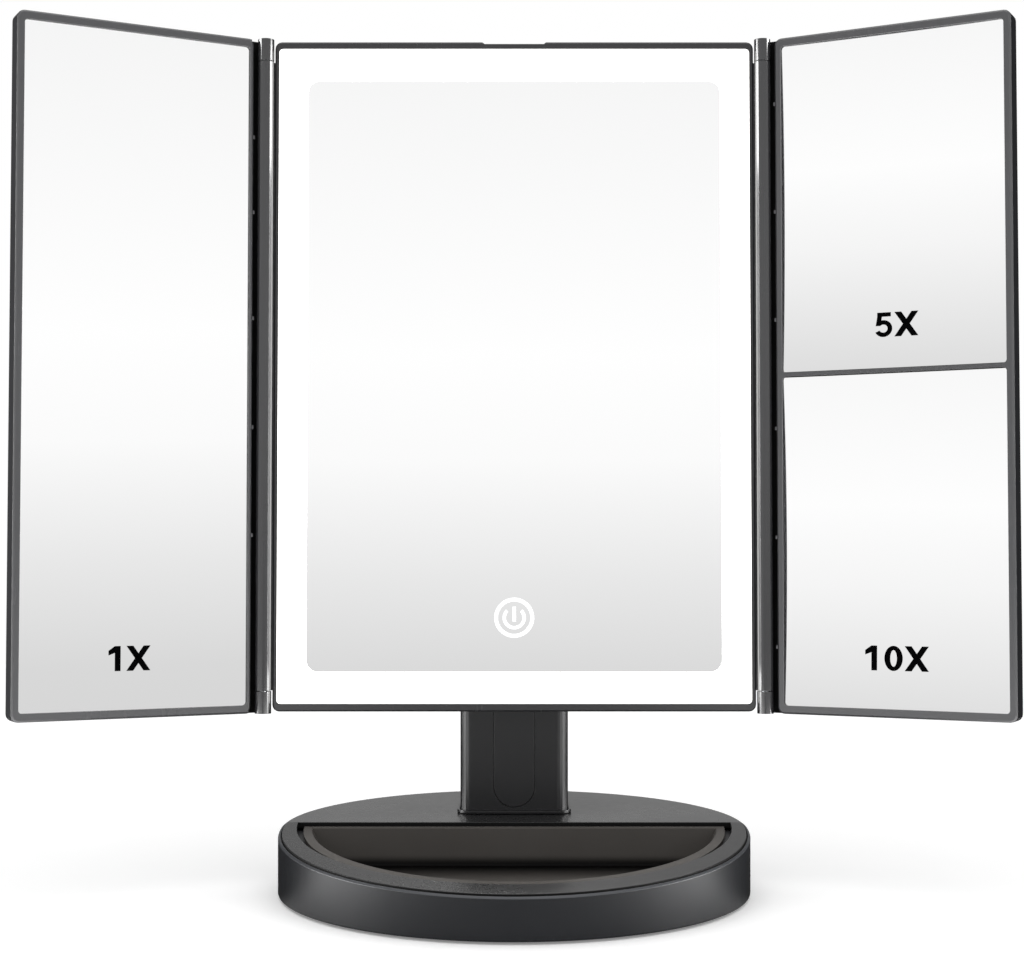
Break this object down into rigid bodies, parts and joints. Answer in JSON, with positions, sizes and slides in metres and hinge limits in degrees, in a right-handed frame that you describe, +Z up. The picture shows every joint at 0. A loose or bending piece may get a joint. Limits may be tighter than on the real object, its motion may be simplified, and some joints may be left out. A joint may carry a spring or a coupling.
{
  "type": "lighted folding magnifying mirror",
  "caption": "Lighted folding magnifying mirror with side wings, a tilting centre panel with a lit border and touch control, and a stem on a round base with a tray.",
  "frame": {"origin": "on the table under the middle of the round base", "axes": "+X to the right as the user faces the mirror, +Y away from the user, +Z up"},
  "size_m": [0.4194, 0.202, 0.3715],
  "materials": {
    "black_plastic": "satin black",
    "tray_black": "satin warm black",
    "frame_grey": "satin dark grey",
    "wing_grey": "satin grey",
    "rubber": "matt",
    "steel": "zinc-plated",
    "ballast_iron": "as cast",
    "mirror_glass": "silvered glass",
    "opal_diffuser": "opal, lit from behind",
    "white_plastic": "white",
    "copper_foil": "copper foil",
    "board_green": "green solder mask",
    "cell_wrap": "printed wrap"
  },
  "bodies": {
    "base": {"base_wall_shell": "black_plastic", "base_top_cover": "black_plastic", "tray_dish": "tray_black", "base_bottom_plate": "black_plastic", "ballast_weight": "ballast_iron", "rubber_foot_1": "rubber", "rubber_foot_2": "rubber", "rubber_foot_3": "rubber", "rubber_foot_4": "rubber", "base_screw_1": "steel", "base_screw_2": "steel", "base_screw_3": "steel", "base_screw_4": "steel", "stem_front_shell": "black_plastic", "stem_rear_shell": "black_plastic", "stem_inlay": "black_plastic", "stem_collar": "black_plastic", "stem_spine": "steel", "spine_screw_1": "steel", "spine_screw_2": "steel"},
    "panel": {"tilt_bracket": "black_plastic", "centre_rear_cover": "black_plastic", "battery_door": "black_plastic", "centre_frame": "frame_grey", "tilt_pin": "steel", "tilt_washer_left": "steel", "tilt_washer_right": "steel", "bracket_screw_1": "steel", "bracket_screw_2": "steel", "usb_socket": "steel", "battery_contact_top": "steel", "battery_contact_bottom": "steel", "rear_screw_1": "steel", "rear_screw_2": "steel", "rear_screw_3": "steel", "rear_screw_4": "steel", "centre_mirror_glass": "mirror_glass", "light_diffuser": "opal_diffuser", "reflector_plate": "white_plastic", "led_strip_left": "white_plastic", "led_strip_right": "white_plastic", "led_strip_top": "white_plastic", "led_strip_bottom": "white_plastic", "touch_sensor_pad": "copper_foil", "control_board": "board_green", "battery_cell_1": "cell_wrap", "battery_cell_2": "cell_wrap", "battery_cell_3": "cell_wrap", "battery_cell_4": "cell_wrap"},
    "left_wing": {"left_wing_frame": "wing_grey", "left_wing_back": "black_plastic", "left_glass_1x": "mirror_glass", "left_upper_pin": "steel", "left_lower_pin": "steel"},
    "right_wing": {"right_wing_frame": "wing_grey", "right_wing_back": "black_plastic", "right_glass_5x": "mirror_glass", "right_glass_10x": "mirror_glass", "right_upper_pin": "steel", "right_lower_pin": "steel"}
  },
  "joints": [
    {"name": "mirror_tilt", "type": "hinge", "parent": "base", "child": "panel", "pos_m": [0, 0.042, 0.15], "axis": [-1, 0, 0], "range_deg": [-7, 45]},
    {"name": "left_wing_fold", "type": "hinge", "parent": "panel", "child": "left_wing", "pos_m": [-0.1088, 0.00911, 0.22284], "axis": [0, 0.0333, 0.9994], "range_deg": [-27.56, 152.44]},
    {"name": "right_wing_fold", "type": "hinge", "parent": "panel", "child": "right_wing", "pos_m": [0.1088, 0.00911, 0.22284], "axis": [0, -0.0333, -0.9994], "range_deg": [-27.56, 152.44]}
  ]
}
